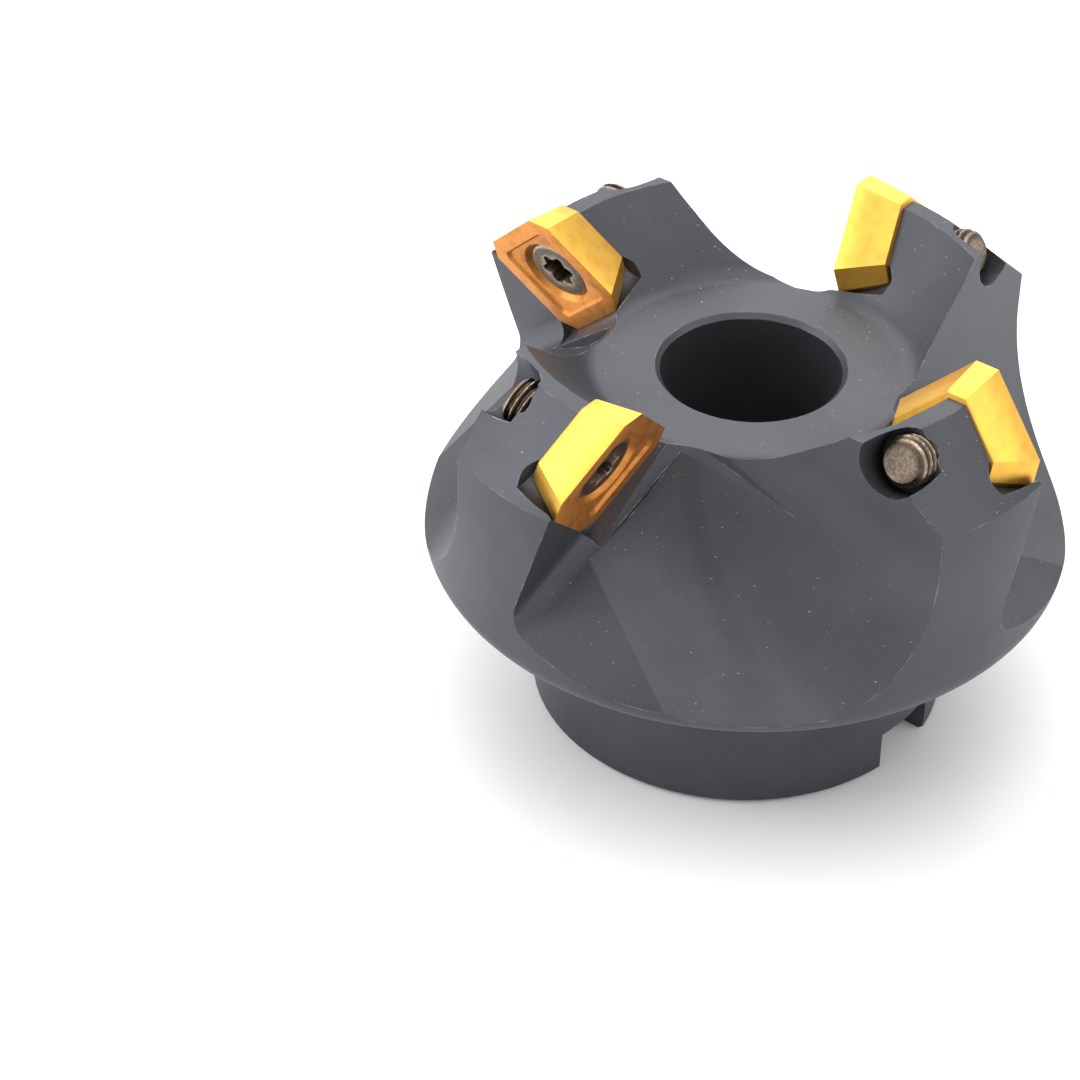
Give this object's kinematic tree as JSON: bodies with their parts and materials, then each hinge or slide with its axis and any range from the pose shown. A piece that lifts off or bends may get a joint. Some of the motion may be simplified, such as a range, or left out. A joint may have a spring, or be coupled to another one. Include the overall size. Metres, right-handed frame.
{
  "type": "indexable face mill",
  "caption": "45 degree shell face mill: a black steel body with skirted hub, drive slots and chip gullets that carries square gold-coated inserts held by centre screws.",
  "frame": {"origin": "centre of the rear hub face, which rests against the arbor's shoulder", "axes": "+Z along the cutter's axis towards the cutting face; +X through tooth 1 and one drive slot; teeth numbered anticlockwise as seen from the cutting face"},
  "size_m": [0.065, 0.065, 0.047],
  "materials": {
    "black_oxide_steel": "satin black oxide over milled and turned steel",
    "gold_coated_carbide": "gold titanium nitride coating, satin",
    "screw_steel": "phosphated steel, satin"
  },
  "bodies": {
    "cutter_body": {"cutter_body": "black_oxide_steel"},
    "insert_1": {"insert_1": "gold_coated_carbide"},
    "insert_screw_1": {"insert_screw_1": "screw_steel"},
    "insert_2": {"insert_2": "gold_coated_carbide"},
    "insert_screw_2": {"insert_screw_2": "screw_steel"},
    "insert_3": {"insert_3": "gold_coated_carbide"},
    "insert_screw_3": {"insert_screw_3": "screw_steel"},
    "insert_4": {"insert_4": "gold_coated_carbide"},
    "insert_screw_4": {"insert_screw_4": "screw_steel"}
  },
  "joints": [
    {"name": "insert_1_lift", "type": "slide", "parent": "cutter_body", "child": "insert_1", "axis": [0, 0.9455, -0.3256], "range_m": [0, 0.0048]},
    {"name": "insert_screw_1_turn", "type": "hinge", "parent": "insert_1", "child": "insert_screw_1", "pos_m": [0.02388, 0.0013, 0.03967], "axis": [0, 0.9455, -0.3256], "range_deg": [0, 2160]},
    {"name": "insert_2_lift", "type": "slide", "parent": "cutter_body", "child": "insert_2", "axis": [-0.9455, 0, -0.3256], "range_m": [0, 0.0048]},
    {"name": "insert_screw_2_turn", "type": "hinge", "parent": "insert_2", "child": "insert_screw_2", "pos_m": [-0.0013, 0.02388, 0.03967], "axis": [-0.9455, 0, -0.3256], "range_deg": [0, 2160]},
    {"name": "insert_3_lift", "type": "slide", "parent": "cutter_body", "child": "insert_3", "axis": [0, -0.9455, -0.3256], "range_m": [0, 0.0048]},
    {"name": "insert_screw_3_turn", "type": "hinge", "parent": "insert_3", "child": "insert_screw_3", "pos_m": [-0.02388, -0.0013, 0.03967], "axis": [0, -0.9455, -0.3256], "range_deg": [0, 2160]},
    {"name": "insert_4_lift", "type": "slide", "parent": "cutter_body", "child": "insert_4", "axis": [0.9455, 0, -0.3256], "range_m": [0, 0.0048]},
    {"name": "insert_screw_4_turn", "type": "hinge", "parent": "insert_4", "child": "insert_screw_4", "pos_m": [0.0013, -0.02388, 0.03967], "axis": [0.9455, 0, -0.3256], "range_deg": [0, 2160]}
  ],
  "couplings": [
    {"joint": "insert_screw_1_turn", "follows": "insert_1_lift", "rad_per_m": 7854},
    {"joint": "insert_screw_2_turn", "follows": "insert_2_lift", "rad_per_m": 7854},
    {"joint": "insert_screw_3_turn", "follows": "insert_3_lift", "rad_per_m": 7854},
    {"joint": "insert_screw_4_turn", "follows": "insert_4_lift", "rad_per_m": 7854}
  ]
}
